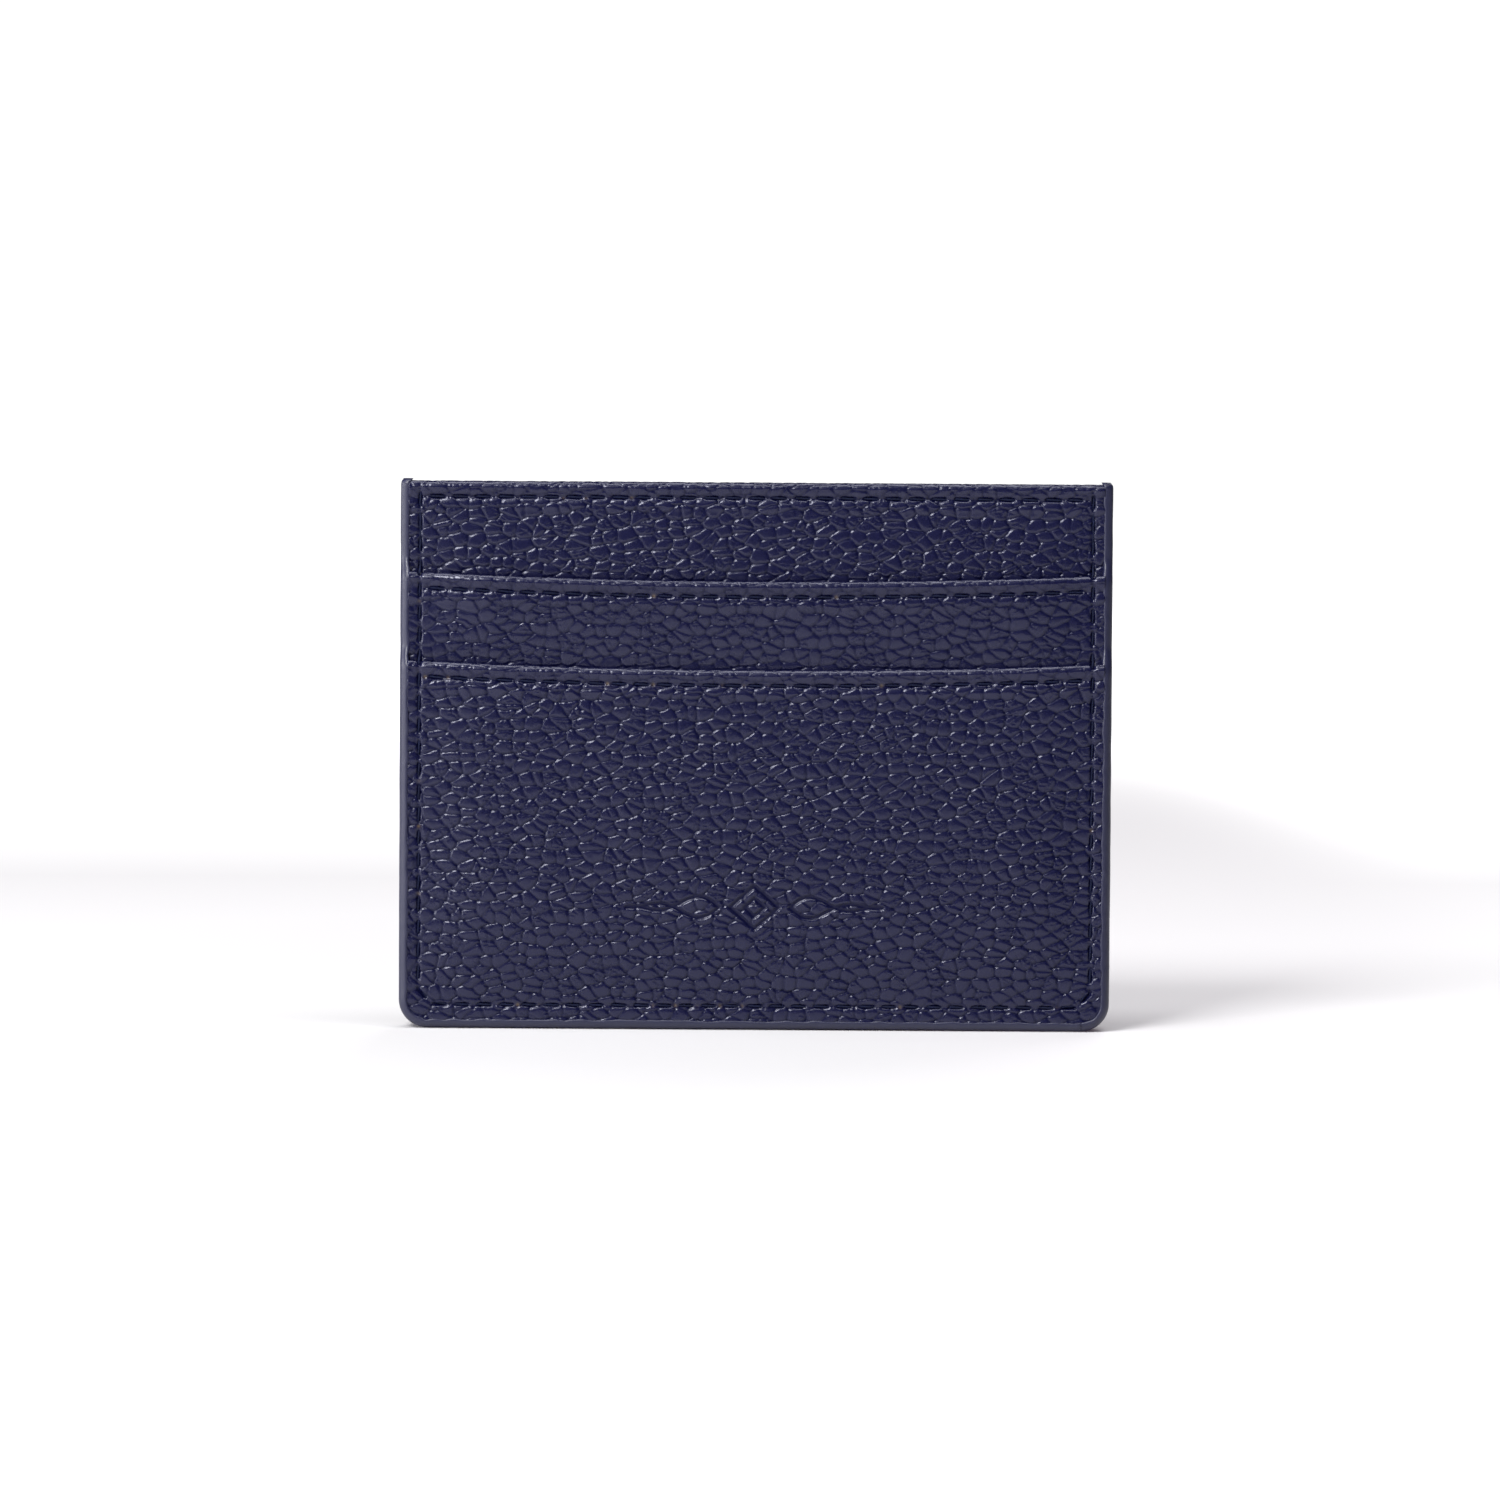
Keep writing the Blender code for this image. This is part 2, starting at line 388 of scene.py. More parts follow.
@dataclass(frozen=True)
class Seam:
    """A row of lockstitches along a path on the face of the holder.

    Attributes:
        path: The corners of the path as (x, z), in order.
        pitch: Length of one stitch.
        tacked: Whether its two ends are stitched over again.
    """

    path: tuple[tuple[float, float], ...]
    pitch: float = 3.175 * MM
    tacked: bool = False

    def holes(self) -> Array:
        """The needle holes, an even distance apart along the path, as (x, z)."""
        corners = np.array(self.path)
        runs = np.hypot(*np.diff(corners, axis=0).T)
        along = np.concatenate([[0], np.cumsum(runs)])
        count = max(2, round(along[-1] / self.pitch))
        steps = np.linspace(0, along[-1], count + 1)
        return np.stack([np.interp(steps, along, c) for c in corners.T], axis=1)

    def away(self, x: Array, z: Array) -> Array:
        """Distance from points to the path."""
        found = np.full(x.shape, 1.0)
        for start, end in zip(self.path, self.path[1:]):
            found = np.minimum(found, distance_to_line(x, z, start, end))
        return found

    def pull(self, x: Array, z: Array) -> tuple[Array, Array, Array]:
        """How the stitches draw the leather in, and where its needle holes are.

        Args:
            x: Distances across the holder.
            z: Heights, of the same shape.

        Returns:
            The change of height in metres, a mask that is 1 in a hole, and one
            that is 1 in the slit along a stitch.
        """
        away = self.away(x, z)
        press, hole, parted = (np.zeros(x.shape) for _ in range(3))
        near = away < 2.2 * MM
        if near.any():
            close = away[near]
            groove = np.exp(-((close / (0.45 * MM)) ** 2))
            slit = np.exp(-((close / (0.22 * MM)) ** 2))
            gap = np.full(close.shape, 1.0)
            for spot_x, spot_z in self.holes():
                gap = np.minimum(gap, np.hypot(x[near] - spot_x, z[near] - spot_z))
            tied = np.exp(-((gap / (0.68 * MM)) ** 2))
            hole[near] = np.exp(-((gap / (0.24 * MM)) ** 2))
            parted[near] = slit * (1 - tied)
            press[near] = MM * (0.12 * groove * (tied - 1) - 0.46 * parted[near])
        return press - 0.20 * MM * hole, hole, parted


@dataclass(frozen=True)
class Swell:
    """How a ply stands away from the flat between its seams.

    Attributes:
        half_width: Distance from the middle to the side seams.
        floor: Height of the seam that holds the ply's foot.
        puff: How far the ply bellies out.
        lean: How much further out its mouth is than the middle of the ply.
        lean_from: Height at which the ply starts to lean.
        lean_to: Height at which it has leant all the way.
    """

    half_width: float
    floor: float
    puff: float
    lean: float
    lean_from: float
    lean_to: float

    def at(self, x: Array, z: Array) -> Array:
        """Outward offset of the ply at points.

        Args:
            x: Distances across the holder.
            z: Heights, of the same shape.

        Returns:
            The offsets in metres.
        """
        inside = np.clip(self.half_width - np.abs(x), 0, None)
        above = np.clip(z - self.floor, 0, None)
        free = 1 - np.exp(-((inside / (5.5 * MM)) ** 2))
        raised = 1 - np.exp(-((above / (7.0 * MM)) ** 1.5))
        leant = np.clip((z - self.lean_from) / (self.lean_to - self.lean_from), 0, 1)
        drift = 0.05 * MM * SoftNoise(71, 13 * MM).at(x, z)
        drift += 0.03 * MM * SoftNoise(72, 6 * MM).at(x, z)
        return free * (raised * (self.puff + drift) + self.lean * leant)


# --- Node trees ------------------------------------------------------------------


class Value:
    """A number on a node tree, on which Python arithmetic adds Math nodes."""

    def __init__(self, shader: Shader, link: bpy.types.NodeSocket) -> None:
        """Wrap an output socket of a node in the shader's tree."""
        self.shader = shader
        self.link = link

    def _math(self, operation: str, first: Value | float, second: Value | float) -> Value:
        """One Math node on two numbers or values."""
        node = self.shader.node(
            "ShaderNodeMath", {"operation": operation}, {0: first, 1: second}
        )
        return Value(self.shader, node.outputs[0])

    def __add__(self, other: Value | float) -> Value:
        """The sum."""
        return self._math("ADD", self, other)

    def __radd__(self, other: float) -> Value:
        """The sum, with the number first."""
        return self._math("ADD", other, self)

    def __sub__(self, other: Value | float) -> Value:
        """The difference."""
        return self._math("SUBTRACT", self, other)

    def __mul__(self, other: Value | float) -> Value:
        """The product."""
        return self._math("MULTIPLY", self, other)

    def __rmul__(self, other: float) -> Value:
        """The product, with the number first."""
        return self._math("MULTIPLY", other, self)


class Graph:
    """A node tree to which nodes are added with their settings and inputs."""

    def __init__(self, tree: bpy.types.NodeTree) -> None:
        """Wrap a node tree."""
        self.tree = tree

    def node(
        self, kind: str, settings: dict[str, object], inputs: dict[int | str, object]
    ) -> bpy.types.Node:
        """Add a node.

        Args:
            kind: Its type, such as ShaderNodeMath.
            settings: Its properties, which are set before its sockets.
            inputs: Each socket's number or name, and its value or link.

        Returns:
            The node.
        """
        made = self.tree.nodes.new(kind)
        for key, setting in settings.items():
            setattr(made, key, setting)
        for key, given in inputs.items():
            self.feed(made.inputs[key], given)
        return made

    def feed(self, socket: bpy.types.NodeSocket, given: object) -> None:
        """Link a value, a socket or a constant to a socket."""
        if isinstance(given, Value):
            self.tree.links.new(given.link, socket)
        elif isinstance(given, bpy.types.NodeSocket):
            self.tree.links.new(given, socket)
        else:
            socket.default_value = given


class Shader(Graph):
    """A material whose node tree is written as expressions."""

    def __init__(self, name: str) -> None:
        """Make a material of this name with a bare Principled shader."""
        self.material = bpy.data.materials.new(name)
        self.material.use_nodes = True
        super().__init__(self.material.node_tree)
        self.surface = self.tree.nodes["Principled BSDF"]

    def set(self, **sockets: object) -> None:
        """Feed the Principled shader, whose sockets are named with underscores."""
        for key, given in sockets.items():
            socket = key.replace("_", " ").title().replace("Ior", "IOR")
            self.feed(self.surface.inputs[socket], given)

    def paint_shade(self, share: Value, colour: Colour) -> None:
        """Paint shade: take the gloss away where a share is 1, and leave this dark colour.
        """
        matt = {"Base Color": colour, "Roughness": 1.0, "Specular IOR Level": 0.0}
        deep = self.node("ShaderNodeBsdfPrincipled", {}, matt)
        surfaces = {0: share, 1: self.surface.outputs[0], 2: deep.outputs[0]}
        mixed = self.node("ShaderNodeMixShader", {}, surfaces)
        self.feed(self.tree.nodes["Material Output"].inputs["Surface"], mixed.outputs[0])

    def place(self) -> bpy.types.NodeSocket:
        """The point on the piece, in metres."""
        return self.node("ShaderNodeTexCoord", {}, {}).outputs["Object"]

    def stored(self, name: str) -> Value:
        """A number that the mesh stores at each point."""
        node = self.node("ShaderNodeAttribute", {"attribute_name": name}, {})
        return Value(self, node.outputs["Fac"])

    def noise(self, size: float, detail: float = 2.0, rough: float = 0.5) -> Value:
        """Noise from 0 to 1 with bumps of this size."""
        inputs = {"Vector": self.place(), "Scale": 1 / size, "Detail": detail}
        node = self.node("ShaderNodeTexNoise", {}, {**inputs, "Roughness": rough})
        return Value(self, node.outputs["Fac"])

    def blend(self, share: Value | float, first: object, second: object) -> object:
        """The colour between two others, as a socket."""
        node = self.node(
            "ShaderNodeMix",
            {"data_type": "RGBA"},
            {"Factor": share, 6: first, 7: second},
        )
        return node.outputs[2]

    def fade(self, value: Value) -> Value:
        """A value that eases from 1 down to 0 while another grows from 0 to 1."""
        node = self.node(
            "ShaderNodeMapRange",
            {"interpolation_type": "SMOOTHSTEP"},
            {"Value": value, "To Min": 1.0, "To Max": 0.0},
        )
        return Value(self, node.outputs["Result"])

    def bump(self, height: Value, depth: float, strength: float = 1.0) -> object:
        """A normal bent by a height from 0 to 1 that stands for this depth."""
        node = self.node(
            "ShaderNodeBump", {}, {"Height": height, "Distance": depth, "Strength": strength}
        )
        return node.outputs["Normal"]


# --- Finishes --------------------------------------------------------------------


@dataclass(frozen=True)
class LeatherFinish:
    """Navy pebbled synthetic leather with a semi-matt film over it.

    Attributes:
        pebble: Colour on the pebbles.
        crease: Colour in the creases, darker than on the pebbles: painted shade.
        shadow: Painted shade: a dark matt colour deep in the creases and in the slits along
            stitches, where the gloss is taken away.
        backing: Colour of the knitted backing, bared in the needle holes.
        sheen: Tint of the light that it reflects.
        roughness: Roughness on the pebbles.
    """

    pebble: Colour = (0.0046, 0.0050, 0.0290, 1.0)
    crease: Colour = (0.0026, 0.0030, 0.0235, 1.0)
    shadow: Colour = (0.0022, 0.0027, 0.0200, 1.0)
    backing: Colour = (0.0900, 0.0640, 0.0380, 1.0)
    sheen: Colour = (0.87, 0.88, 1.0, 1.0)
    roughness: float = 0.255

    def material(self) -> bpy.types.Material:
        """The finish as a material."""
        shader = Shader("pebbled_leather")
        shader.set(specular_tint=self.sheen)
        crease = shader.stored("crease")
        hole, slit = shader.stored("hole"), shader.stored("slit")
        cloudy = shader.noise(9 * MM, 3.0)
        fine = shader.noise(0.16 * MM, 2.0, 0.6)
        hair = shader.noise(0.07 * MM, 1.0)
        # Painted shade: the colour darkens towards the crease colour where the crease mask
        # is high.
        tone = shader.blend(crease, self.pebble, self.crease)
        shade = shader.blend(0.25 * cloudy, tone, self.crease)
        bared = shader.stored("bared")
        colour = shader.blend(bared * hole, shade, self.backing)
        rough = self.roughness - 0.03 + 0.05 * cloudy + 0.02 * hair + 0.03 * crease
        shader.set(base_color=colour, roughness=rough)
        shader.set(normal=shader.bump(fine + 0.3 * hair, 0.002 * MM))
        # Painted shade deep in the creases and in the slits along the stitches: a dark matt
        # surface over the gloss.
        shader.paint_shade(0.85 * crease + 0.95 * slit, self.shadow)
        return shader.material


@dataclass(frozen=True)
class LiningFinish:
    """Fine plain-woven lining cloth.

    Attributes:
        warp: Colour of the threads on top.
        shade: Colour between the threads, darker: painted shade in the gaps of the weave.
        count: Distance between two threads.
    """

    warp: Colour = (0.016, 0.018, 0.048, 1.0)
    shade: Colour = (0.004, 0.005, 0.014, 1.0)
    count: float = 0.32 * MM

    def material(self) -> bpy.types.Material:
        """The finish as a material."""
        shader = Shader("lining_cloth")
        threads = []
        for axis in ("X", "Z"):
            wave = shader.node(
                "ShaderNodeTexWave",
                {"wave_type": "BANDS", "bands_direction": axis},
                {"Vector": shader.place(), "Scale": 0.314 / self.count, "Distortion": 0.6},
            )
            threads.append(Value(shader, wave.outputs["Fac"]))
        weave = threads[0] * threads[1]
        wear = shader.noise(4 * MM)
        # Painted shade: the colour darkens between the threads.
        shader.set(base_color=shader.blend(weave, self.shade, self.warp))
        shader.set(roughness=0.78 + 0.12 * wear, normal=shader.bump(weave, 0.05 * MM))
        return shader.material


@dataclass(frozen=True)
class EdgePaintFinish:
    """Satin paint brushed over the cut edges.

    Attributes:
        coat: Colour of the paint.
        thin: Colour where the paint is thin.
        roughness: Its usual roughness.
    """

    coat: Colour = (0.0135, 0.0145, 0.0450, 1.0)
    thin: Colour = (0.0090, 0.0100, 0.0360, 1.0)
    roughness: float = 0.36

    def material(self) -> bpy.types.Material:
        """The finish as a material."""
        shader = Shader("edge_paint")
        drift = shader.noise(5 * MM, 3.0)
        speck = shader.noise(0.25 * MM, 3.0, 0.6)
        shader.set(base_color=shader.blend(drift, self.coat, self.thin))
        shader.set(roughness=self.roughness - 0.04 + 0.10 * drift + 0.06 * speck)
        shader.set(normal=shader.bump(speck, 0.010 * MM, 0.5))
        return shader.material


@dataclass(frozen=True)
class ThreadFinish:
    """Twisted polyester thread.

    Attributes:
        strand: Colour of the thread.
        lit: Colour of the fibres that catch the light.
    """

    strand: Colour = (0.0022, 0.0030, 0.0130, 1.0)
    lit: Colour = (0.0100, 0.0180, 0.0750, 1.0)

    def material(self) -> bpy.types.Material:
        """The finish as a material."""
        shader = Shader("sewing_thread")
        fibre = shader.noise(0.05 * MM, 2.0)
        patch = shader.noise(2.5 * MM)
        shader.set(base_color=shader.blend(fibre * patch, self.strand, self.lit))
        shader.set(specular_ior_level=0.2)
        shader.set(roughness=0.65 + 0.25 * fibre, normal=shader.bump(fibre, 0.02 * MM))
        return shader.material


@dataclass(frozen=True)
class FloorFinish:
    """A plain white table that glows with its own light, brighter away behind the holder,
    with painted shade right beside the holder and a painted shadow behind it at the right.

    Attributes:
        paint: Colour of the table.
        under: Its own light right beside the holder, lower than near: painted shade round
            the holder's foot.
        near: Its own light a hand's breadth from the holder.
        far: Its own light far behind it.
        dim: Its own light where the broad soft painted shadow lies, a patch where that light
            is dimmer.
        dim_at: Middle of that shadow, across and behind.
        dim_reach: How far that shadow spreads, across and behind.
        still: Distance behind the holder up to which its own light stays the same.
        fade: Further distance over which it grows.
        beside: Distance from the holder's middle at which it starts to grow.
        clear: Further distance over which it grows to that of near.
        roughness: Its usual roughness.
    """

    paint: Colour = (0.715, 0.710, 0.720, 1.0)
    under: Colour = (0.010, 0.006, 0.010, 1.0)
    near: Colour = (0.105, 0.095, 0.105, 1.0)
    far: Colour = (1.3, 1.3, 1.3, 1.0)
    dim: Colour = (0.050, 0.035, 0.050, 1.0)
    dim_at: tuple[float, float] = (0.066, 0.17)
    dim_reach: tuple[float, float] = (0.062, 0.50)
    still: float = 0.24
    fade: float = 0.50
    beside: float = 0.05
    clear: float = 0.13
    roughness: float = 0.55

    def material(self) -> bpy.types.Material:
        """The finish as a material."""
        shader = Shader("white_table")
        grain = shader.noise(300 * MM)
        place = shader.place()
        split = shader.node("ShaderNodeSeparateXYZ", {}, {0: place})
        length = shader.node("ShaderNodeVectorMath", {"operation": "LENGTH"}, {0: place})
        clear = (Value(shader, length.outputs["Value"]) - self.beside) * (1 / self.clear)
        # Painted shade: the table's own light drops right beside the holder.
        near = shader.blend(clear, self.under, self.near)
        grown = (Value(shader, split.outputs["Y"]) - self.still) * (1 / self.fade)
        glow = shader.blend(grown, near, self.far)
        (left, front), (wide, long) = self.dim_at, self.dim_reach
        across = (Value(shader, split.outputs["X"]) - left) * (1 / wide)
        along = (Value(shader, split.outputs["Y"]) - front) * (1 / long)
        # Painted shadow: a soft patch behind the holder at the right, where the table's own
        # light is dimmer.
        painted_shadow_share = shader.fade(across * across + along * along)
        shader.set(base_color=self.paint, roughness=self.roughness + 0.05 * grain)
        shader.set(emission_color=shader.blend(painted_shadow_share, glow, self.dim))
        shader.set(emission_strength=1.0)
        return shader.material


# --- Mesh helpers ----------------------------------------------------------------


def piece_from(
    name: str,
    points: Array,
    faces: list[Array],
    node: str | tuple[str, ...],
    slot: Slot,
    material: bpy.types.Material,
) -> bpy.types.Object:
    """A smooth mesh that rides on the holder and stands for CAD nodes.

    Args:
        name: The piece's name.
        points: Its points, one row each.
        faces: Its faces in blocks, whose rows are point numbers.
        node: The CAD node or nodes that it stands for.
        slot: The material slot of its finish; not used.
        material: That finish.

    Returns:
        The piece, in the scene.
    """
    mesh = bpy.data.meshes.new(name)
    fill(mesh, points, faces)
    mesh.shade_smooth()
    obj = bpy.data.objects.new(name, mesh)
    bpy.context.scene.collection.objects.link(obj)
    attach(obj, ROOT)
    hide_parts(*([node] if isinstance(node, str) else node))
    mesh.materials.append(material)
    LOG.info("%s: %d points, %d faces", name, len(points), len(mesh.polygons))
    return obj


def shell_from(
    name: str,
    rings: Array,
    node: str | tuple[str, ...],
    slot: Slot,
    material: bpy.types.Material,
    flipped: bool = False,
) -> bpy.types.Object:
    """A closed shell through a stack of rings of points.

    Args:
        name: The piece's name.
        rings: Its points, by ring and by place round the ring.
        node: The CAD node or nodes that it stands for.
        slot: The material slot of its finish, passed on to piece_from, which doesn't use it.
        material: That finish.
        flipped: Whether its faces are wound the other way.

    Returns:
        The piece, in the scene.
    """
    faces = [ring_faces(*rings.shape[:2]), end_caps(*rings.shape[:2])]
    if flipped:
        faces = [block[:, ::-1] for block in faces]
    return piece_from(name, rings.reshape(-1, 3), faces, node, slot, material)


def fill(mesh: bpy.types.Mesh, points: Array, faces: list[Array]) -> None:
    """Fill a mesh.

    Args:
        mesh: The mesh.
        points: Its points, one row each.
        faces: Its faces in blocks, whose rows are point numbers.
    """
    corners = np.concatenate([block.ravel() for block in faces])
    counts = np.concatenate([np.full(len(b), b.shape[1]) for b in faces])
    mesh.vertices.add(len(points))
    mesh.vertices.foreach_set("co", points.astype(np.float32).ravel())
    mesh.loops.add(len(corners))
    mesh.loops.foreach_set("vertex_index", corners.astype(np.int32))
    mesh.polygons.add(len(counts))
    starts = np.cumsum(counts) - counts
    mesh.polygons.foreach_set("loop_start", starts.astype(np.int32))
    mesh.update(calc_edges=True)


def ring_faces(rings: int, around: int) -> Array:
    """Faces between rings of points that are each closed on themselves.

    Args:
        rings: Number of rings.
        around: Points in each ring.

    Returns:
        Rows of four point numbers.
    """
    ring, spot = np.meshgrid(np.arange(rings - 1), np.arange(around), indexing="ij")
    after = (spot + 1) % around
    corners = [ring * around + spot, ring * around + after]
    corners += [(ring + 1) * around + after, (ring + 1) * around + spot]
    return np.stack([c.ravel() for c in corners], axis=1)


def end_caps(rings: int, around: int) -> Array:
    """The two faces that close a stack of rings."""
    first = np.arange(around)
    return np.stack([first[::-1], first + (rings - 1) * around])


def store(obj: bpy.types.Object, name: str, numbers: Array) -> None:
    """Store one number at each point of a piece's mesh."""
    layer = obj.data.attributes.new(name, "FLOAT", "POINT")
    layer.data.foreach_set("value", numbers.astype(np.float32).ravel())


# --- Plies -----------------------------------------------------------------------


@dataclass
class LeatherPly:
    """One leather ply with a turned hem, from its foot up over its mouth.

    Attributes:
        piece: Its name without its side.
        face: The side that it is on.
        grain: The grain pressed into it.
        swell: How it stands away from the flat.
        seams: The rows of stitches that go through its face.
        hem: The row of stitches along its hem.
        shown_from: Height above which it shows.
        ornament: A mark pressed into it, if it has one.
        step: Distance between its points where it shows, across and up.
        tuck: How far its sides run in under the painted edge.
        turn_in_depth: How far below the mouth the turned-in leather reaches.
        hem_drop: Distance from the mouth down to the hem's stitches.
        hem_rise: How much the hem thickens from its stitches up to the fold.
        bulge: Height of the roll below the hem's stitches.
        pleat: Depth of the small pleats in the hem.
        turn_in: Thickness of the thinned leather turned in behind.
        fold_length: Length of hide in the outer half of the fold.
        hidden: How far below shown_from the relief starts to fade in.
        corner: Radius of its lower corners.
        low: Its CAD node's lowest corner.
        high: Its CAD node's highest corner.
        mouth: Its top edge.
    """

    piece: str
    face: Face
    grain: PebbleGrain
    swell: Swell
    seams: list[Seam]
    hem: Seam
    shown_from: float = 0.0
    ornament: Ornament | None = None
    step: tuple[float, float] = (0.145 * MM, 0.125 * MM)
    tuck: float = 0.35 * MM
    turn_in_depth: float = 8.0 * MM
    hem_drop: float = 2.2 * MM
    hem_rise: float = 0.21 * MM
    bulge: float = 0.12 * MM
    pleat: float = 0.04 * MM
    turn_in: float = 0.25 * MM
    fold_length: float = 1.15 * MM
    hidden: float = 1.5 * MM
    corner: float = 2.5 * MM
    low: Vector = field(init=False)
    high: Vector = field(init=False)
    mouth: Mouth = field(init=False)

    def __post_init__(self) -> None:
        """Read the ply's place from the frame."""
        self.low, self.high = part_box(self.node)
        self.mouth = Mouth.of(self.node)

    @property
    def node(self) -> str:
        """The CAD node that the ply stands for."""
        return self.face.node(self.piece)

    @property
    def outer(self) -> float:
        """Distance from the mid plane to the ply's outer face."""
        return max(abs(self.low.y), abs(self.high.y))

    @property
    def inner(self) -> float:
        """Distance from the mid plane to the ply's inner face."""
        return min(abs(self.low.y), abs(self.high.y))

    @property
    def roll(self) -> float:
        """Radius of the fold along the mouth."""
        return (self.outer - self.inner) / 2

    @cached_property
    def fold(self) -> list[tuple[float, float, float, float, float]]:
        """The outer half of the folded mouth, from the face up to its top.

        Returns:
            For each step, the distance out from the ply's middle, the drop below
            the mouth, the outward direction as out and up, and the distance
            along the hide from where the fold starts.
        """
        along = np.linspace(0, self.fold_length, 15)
        marks = (0.0, 0.30 * MM, 0.80 * MM, self.fold_length)
        tilt = np.radians(np.interp(along, marks, (0, 25, 44, 90)))
        between = (tilt[1:] + tilt[:-1]) / 2
        inward = np.concatenate([[0], np.cumsum(np.sin(between) * np.diff(along))])
        upward = np.concatenate([[0], np.cumsum(np.cos(between) * np.diff(along))])
        reach = self.roll * (1 - inward / inward[-1])
        drop = upward[-1] - upward
        table = (reach, drop, np.cos(tilt), np.sin(tilt), along)
        return [tuple(float(c) for c in row) for row in np.stack(table, axis=1)][1:]

    @property
    def shoulder(self) -> float:
        """Height of the fold, from where it starts up to the mouth."""
        first = self.fold[0]
        return first[1] + math.cos(math.atan2(first[3], first[2])) * first[4]

    def foot(self, x: Array) -> Array:
        """Height of the ply's lower edge, round at the holder's lower corners."""
        reach = self.high.x + self.tuck
        into = np.clip(np.abs(x) - (reach - self.corner), 0, self.corner)
        arc = self.corner - np.sqrt(np.clip(self.corner**2 - into**2, 0, None))
        return self.low.z - self.tuck + arc

    def face_at(self, x: Array, z: Array) -> Array:
        """Distance from the mid plane to the ply's smooth face, at points."""
        return self.outer + self.swell.at(x, z)

    def columns(self) -> Array:
        """Places across the ply."""
        reach = self.high.x + self.tuck
        count = round(2 * reach / self.step[0])
        return np.linspace(-reach, reach, count + 1)

    def rises(self) -> Array:
        """Rows up the outer face, as shares of its height, dense where it shows."""
        bottom = self.low.z - self.tuck
        top = self.mouth.height - self.mouth.dip - self.shoulder
        hidden = max(bottom, self.shown_from - self.hidden)
        dense = np.linspace(hidden, top, round((top - hidden) / self.step[1]) + 1)
        if hidden > bottom:
            count = max(2, round((hidden - bottom) / (2.5 * MM)))
            sparse = np.linspace(bottom, hidden, count + 1)[:-1]
            dense = np.concatenate([sparse, dense])
        return (dense - bottom) / (top - bottom)

    def section(self, x: Array) -> dict[str, Array]:
        """The ply's smooth section at each column, from its foot to its back.

        Args:
            x: The columns.

        Returns:
            Arrays with a row for each step round the section: x, the distance y
            from the mid plane, the height z, the outward direction as out and up,
            the distance v along the hide, and lit, 1 on the faces with grain.
        """
        foot, fold = self.foot(x), self.mouth.at(x) - self.shoulder
        rows: list[tuple[Array | float, Array, float, float, Array, float]] = []
        for share in self.rises():
            z = foot + share * (fold - foot)
            rows.append((self.outer, z, 1.0, 0.0, z, 1.0))
        middle = (self.outer + self.inner) / 2
        for reach, drop, out, up, back in self.fold:
            z = self.mouth.at(x) - drop
            rows.append((middle + reach, z, out, up, fold + back, 1.0))
        for k in range(1, 7):
            turn = math.pi / 2 * (1 + k / 6)
            out, up = math.cos(turn), math.sin(turn)
            z = self.mouth.at(x) - self.roll * (1 - up)
            along = fold + self.fold[-1][4] + self.roll * (turn - math.pi / 2)
            rows.append((middle + self.roll * out, z, out, up, along, 1.0))
        for drop in np.linspace(1.0, 0.0, 7)[1:]:
            z = fold - (1 - drop) * (self.turn_in_depth - self.shoulder)
            rows.append((self.inner, z, -1.0, 0.0, z, 0.0))
        back = self.inner + self.turn_in
        edge = fold - (self.turn_in_depth - self.shoulder)
        for share in np.linspace(0, 1, 8):
            z = edge + share * (foot - edge)
            rows.append((back, z, -1.0, 0.0, z, 0.0))
        names = ("y", "z", "out", "up", "v", "lit")
        table = {
            name: np.stack([np.broadcast_to(row[k], x.shape) for row in rows])
            for k, name in enumerate(names)
        }
        table["x"] = np.broadcast_to(x, table["y"].shape)
        return table

    def hem_shape(self, x: Array, v: Array) -> tuple[Array, Array]:
        """Shape of the turned hem.

        Args:
            x: Distances across the holder.
            v: Distances along the hide, of the same shape.

        Returns:
            The change of height in metres, and the share of the grain's relief
            that the turning leaves.
        """
        rise = v - self.mouth.at(x) + self.hem_drop
        fold = self.mouth.at(x) - self.shoulder
        above = smooth_step(rise, -0.15 * MM, 0.25 * MM)
        folded = smooth_step(v, fold - 0.2 * MM, fold + 0.3 * MM)
        roll = np.exp(-(((rise + 1.15 * MM) / (0.65 * MM)) ** 2))
        pleat = SoftNoise(self.grain.seed + 15, 1.5 * MM).at(x, 0.3 * v)
        pleated = np.exp(-((pleat / 0.10) ** 2)) * above
        lifted = np.clip(rise / (self.hem_drop - self.shoulder), 0, 1)
        lifted = lifted * (1 - np.clip((v - fold) / self.fold_length, 0, 1))
        raised = self.hem_rise * lifted + self.bulge * roll - self.pleat * pleated
        return raised, 1 - 0.5 * above - 0.25 * folded

    def relief(self, part: dict[str, Array]) -> tuple[Array, dict[str, Array]]:
        """Relief on the lit faces.

        Args:
            part: The ply's smooth section, as section() gives it.

        Returns:
            The relief's height at each point, and its masks by name.
        """
        level = part["v"].max(axis=1)
        hidden = self.shown_from - self.hidden
        rows = (part["lit"][:, 0] > 0) & (level > hidden)
        x, z, v = part["x"][rows], part["z"][rows], part["v"][rows]
        shown = smooth_step(v, hidden, self.shown_from - 0.5 * MM)
        grain, lines = self.grain.relief(x, v)
        raised, flat = self.hem_shape(x, v)
        holes, slits = np.zeros(x.shape), np.zeros(x.shape)
        for seam in [*self.seams, self.hem]:
            pulled, pierced, parted = seam.pull(x, v)
            raised += pulled
            holes = np.maximum(holes, pierced)
            slits = np.maximum(slits, parted)
        for seam in self.seams:
            flat -= 0.25 * np.exp(-((seam.away(x, z) / (0.8 * MM)) ** 2))
        flat = np.clip(flat, 0.3, 1)
        raised += grain * flat
        if self.ornament:
            pressed, mask = self.ornament.press(x, z)
            raised = raised * (1 - mask) + pressed
